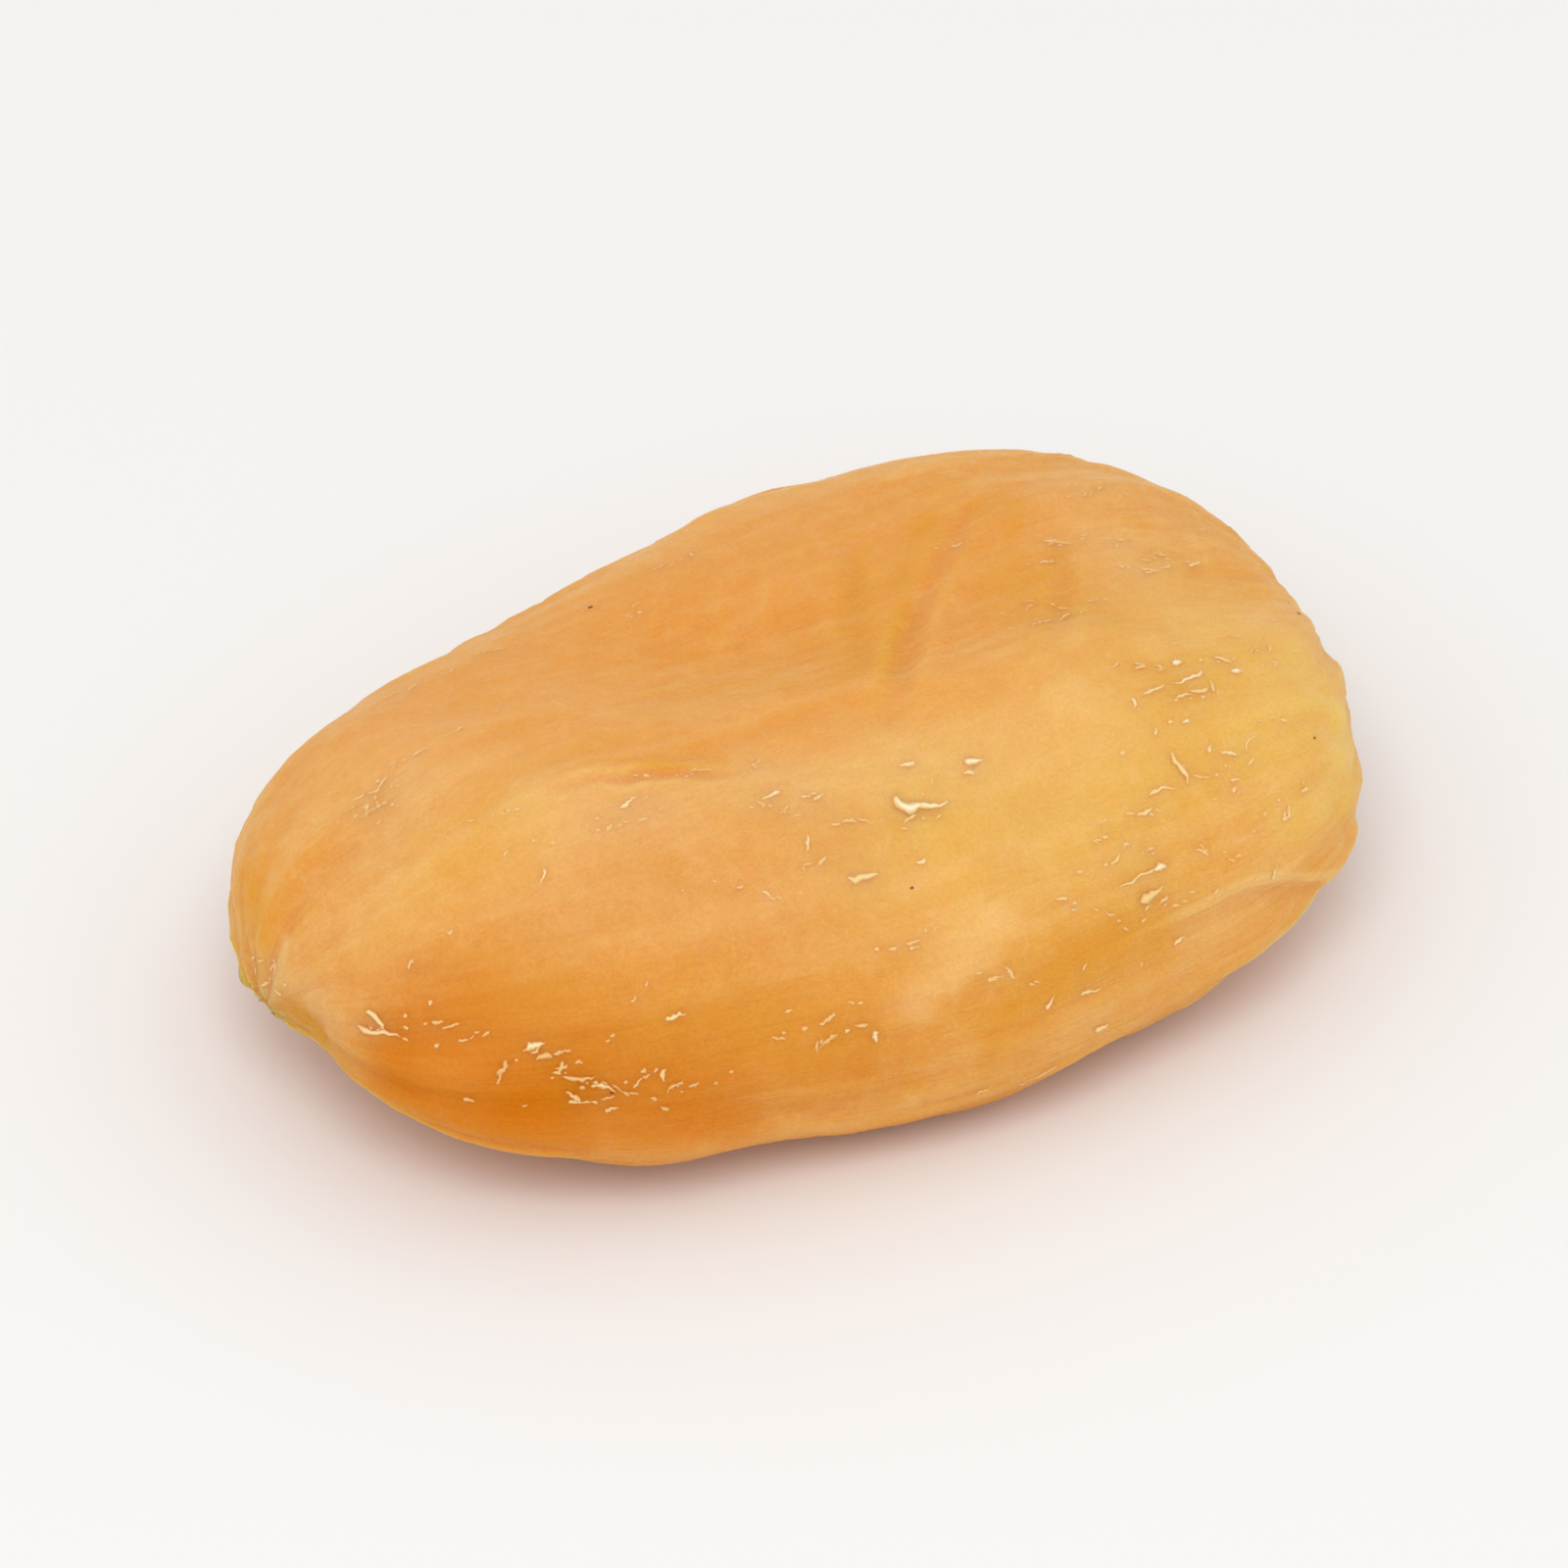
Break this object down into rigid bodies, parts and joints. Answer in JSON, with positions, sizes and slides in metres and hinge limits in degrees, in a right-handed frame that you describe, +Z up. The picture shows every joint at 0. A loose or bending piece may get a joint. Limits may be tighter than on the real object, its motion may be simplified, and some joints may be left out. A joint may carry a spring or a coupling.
{
  "type": "dried apricot",
  "caption": "Whole pitted dried apricot, soft, translucent and dished on top, lying flat on its broad underside.",
  "frame": {"origin": "middle of the footprint, at the surface that the fruit lies on", "axes": "+X runs along the fruit from the stem end to the tip, +Y points to the slit that the stone came out of, +Z is up"},
  "size_m": [0.0388, 0.0266, 0.0115],
  "materials": {
    "flesh": "satin"
  },
  "bodies": {
    "root": {"dried_apricot": "flesh"}
  },
  "joints": []
}
